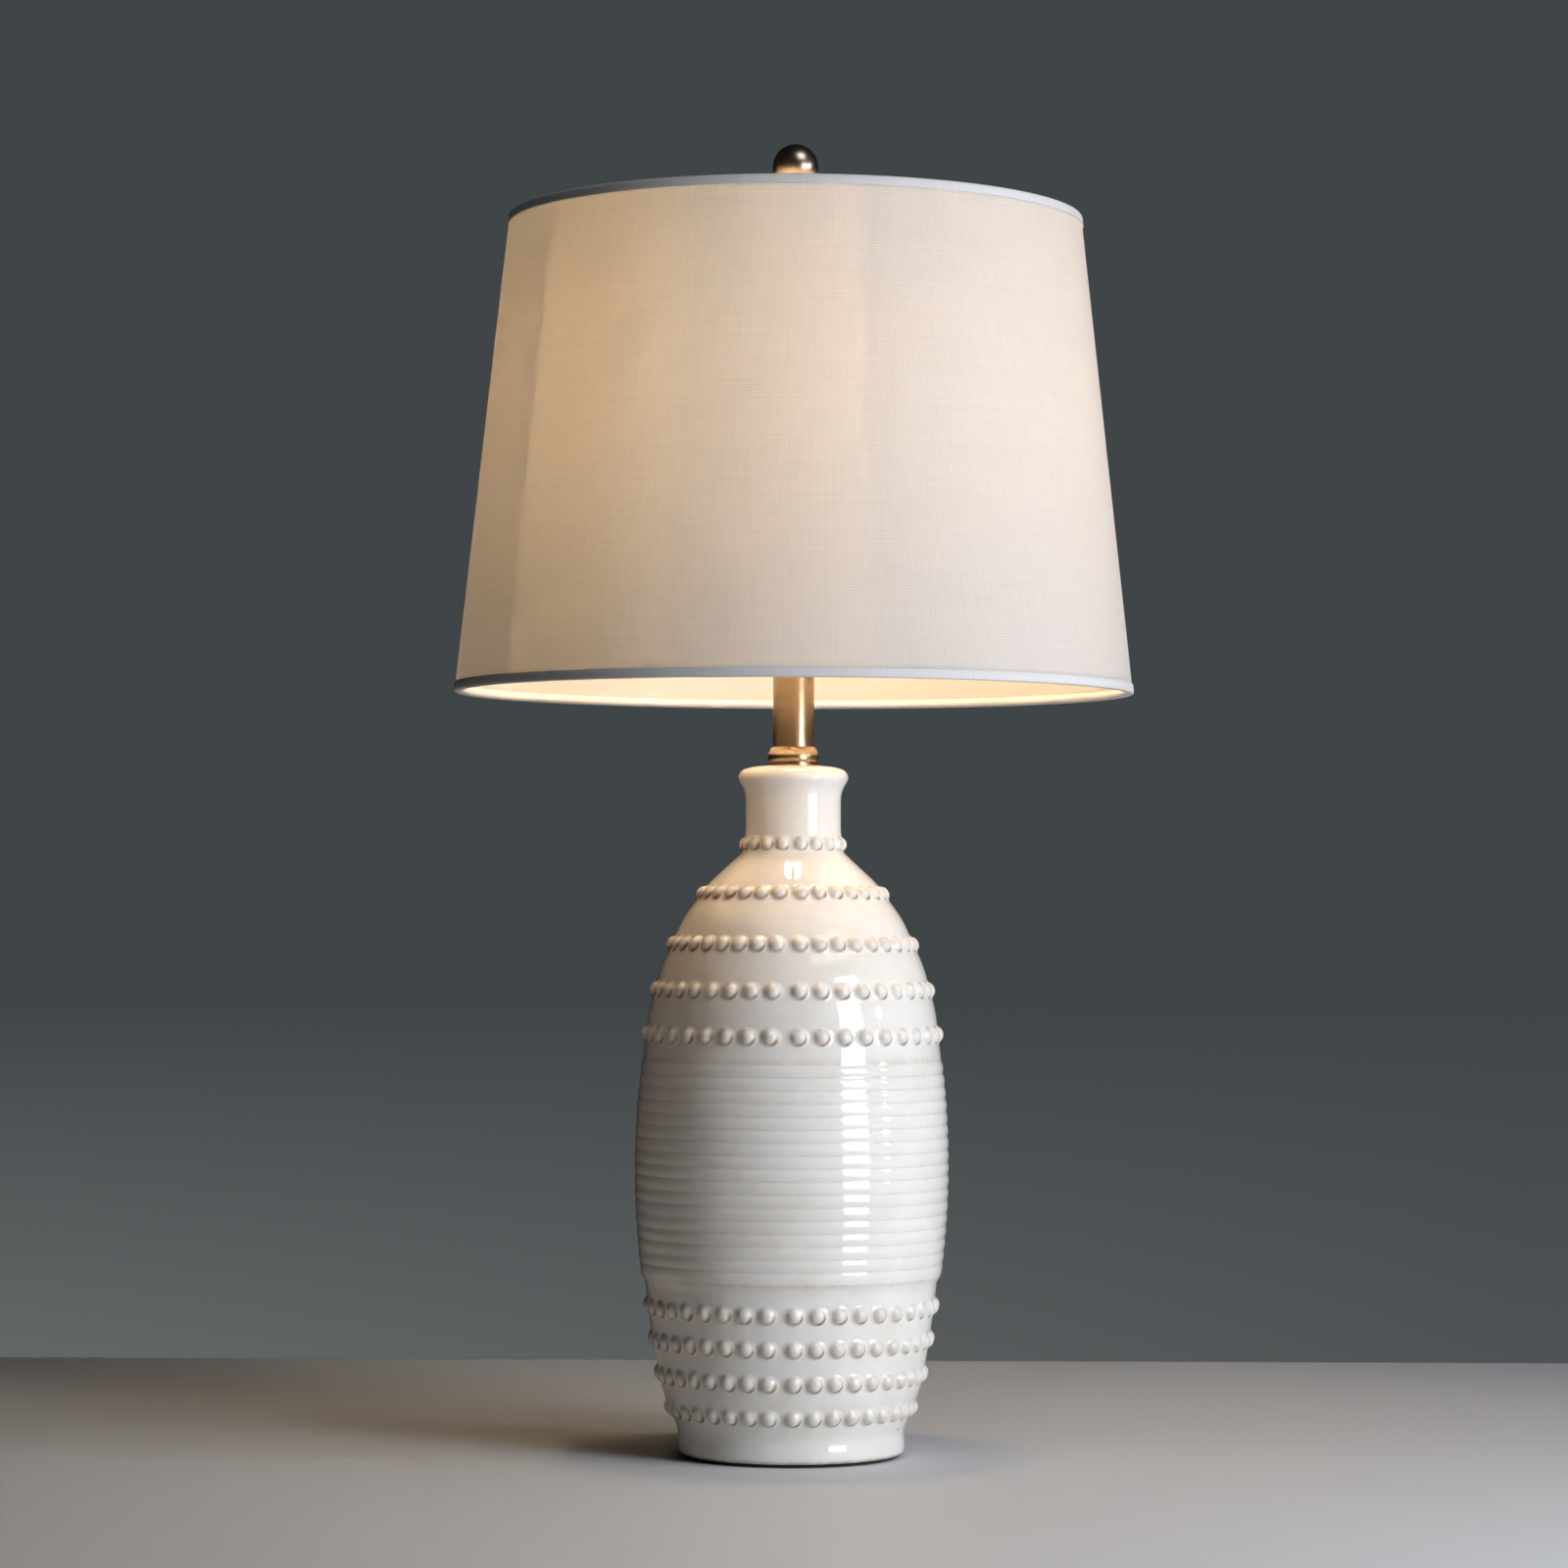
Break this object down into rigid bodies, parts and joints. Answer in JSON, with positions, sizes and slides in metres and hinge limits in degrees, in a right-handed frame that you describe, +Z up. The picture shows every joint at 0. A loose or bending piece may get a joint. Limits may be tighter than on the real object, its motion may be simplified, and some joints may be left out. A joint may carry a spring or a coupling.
{
  "type": "table lamp",
  "caption": "Table lamp with a beaded and ribbed white ceramic base, nickel neck, turn-knob socket, wire harp, tapered linen shade and ball finial.",
  "frame": {"origin": "middle of the resting face under the foot pad", "axes": "+Z up along the lamp's axis, -Y to the front, +X to the right of someone facing the front"},
  "size_m": [0.3302, 0.3302, 0.6371],
  "materials": {
    "glazed_white": "glossy white glaze breaking to tan on edges",
    "felt_black": "matt felt",
    "bushing_black": "moulded",
    "zinc_steel": "zinc plated",
    "rubber_black": "moulded",
    "brushed_nickel": "satin nickel plate",
    "polished_nickel": "polished nickel plate",
    "brass": "drawn brass",
    "socket_metal": "satin nickel plate",
    "socket_paper": "pressed insulating paper",
    "socket_phenolic": "moulded",
    "knob_black": "moulded",
    "bulb_glass": "frosted white, lit",
    "bulb_cap_metal": "rolled",
    "bulb_insulator_black": "vitrite",
    "shade_linen": "plain-weave linen",
    "shade_liner_white": "smooth styrene sheet",
    "hem_linen": "folded plain-weave linen",
    "frame_white": "powder-coated wire"
  },
  "bodies": {
    "lamp_base": {"foot_pad": "felt_black", "ceramic_body": "glazed_white", "cord_bushing": "bushing_black", "lamp_pipe": "zinc_steel", "rubber_washer": "rubber_black", "steel_washer": "zinc_steel", "lock_washer": "zinc_steel", "hex_nut": "zinc_steel", "neck_collar": "brushed_nickel", "neck_tube": "brushed_nickel", "neck_check_ring": "brushed_nickel", "harp_saddle": "brushed_nickel", "harp": "brushed_nickel", "harp_stud": "brushed_nickel", "socket_cap": "socket_metal", "socket_shell": "socket_metal", "socket_liner": "socket_paper", "socket_interior": "socket_phenolic", "socket_screw_shell": "brass", "socket_contact": "brass", "terminal_screws": "brass"},
    "shade": {"shade_cloth": "shade_linen", "shade_liner": "shade_liner_white", "shade_top_ring": "frame_white", "shade_bottom_ring": "frame_white", "shade_top_hem": "hem_linen", "shade_bottom_hem": "hem_linen", "spider_hub": "frame_white", "spider_spokes": "frame_white"},
    "finial_thread": {"finial_insert": "brass"},
    "finial": {"finial_ball": "polished_nickel"},
    "bulb_thread": {"bulb_contact": "bulb_cap_metal"},
    "bulb": {"bulb_envelope": "bulb_glass", "bulb_cap": "bulb_cap_metal", "bulb_insulator": "bulb_insulator_black"},
    "switch": {"switch_shaft": "socket_metal", "switch_knob": "knob_black"},
    "sleeve_left": {"harp_sleeve_left": "brushed_nickel"},
    "sleeve_right": {"harp_sleeve_right": "brushed_nickel"}
  },
  "joints": [
    {"name": "shade_swivel", "type": "hinge", "parent": "lamp_base", "child": "shade", "pos_m": [0, 0, 0.597], "axis": [0, 0, 1], "continuous": true},
    {"name": "finial_rise", "type": "slide", "parent": "lamp_base", "child": "finial_thread", "axis": [0, 0, 1], "range_m": [0, 0.00658]},
    {"name": "finial_turn", "type": "hinge", "parent": "finial_thread", "child": "finial", "pos_m": [0, 0, 0.599], "axis": [0, 0, 1], "range_deg": [0, 2520]},
    {"name": "bulb_rise", "type": "slide", "parent": "lamp_base", "child": "bulb_thread", "axis": [0, 0, 1], "range_m": [0, 0.01633]},
    {"name": "bulb_turn", "type": "hinge", "parent": "bulb_thread", "child": "bulb", "pos_m": [0, 0, 0.4325], "axis": [0, 0, 1], "range_deg": [0, 1620]},
    {"name": "switch_turn", "type": "hinge", "parent": "lamp_base", "child": "switch", "pos_m": [0, -0.02, 0.418], "axis": [0, -1, 0], "continuous": true},
    {"name": "sleeve_left_lift", "type": "slide", "parent": "lamp_base", "child": "sleeve_left", "axis": [0, 0, 1], "range_m": [0, 0.012]},
    {"name": "sleeve_right_lift", "type": "slide", "parent": "lamp_base", "child": "sleeve_right", "axis": [0, 0, 1], "range_m": [0, 0.012]}
  ],
  "couplings": [
    {"joint": "finial_turn", "follows": "finial_rise", "rad_per_m": 6679},
    {"joint": "bulb_turn", "follows": "bulb_rise", "rad_per_m": 1731.6}
  ]
}
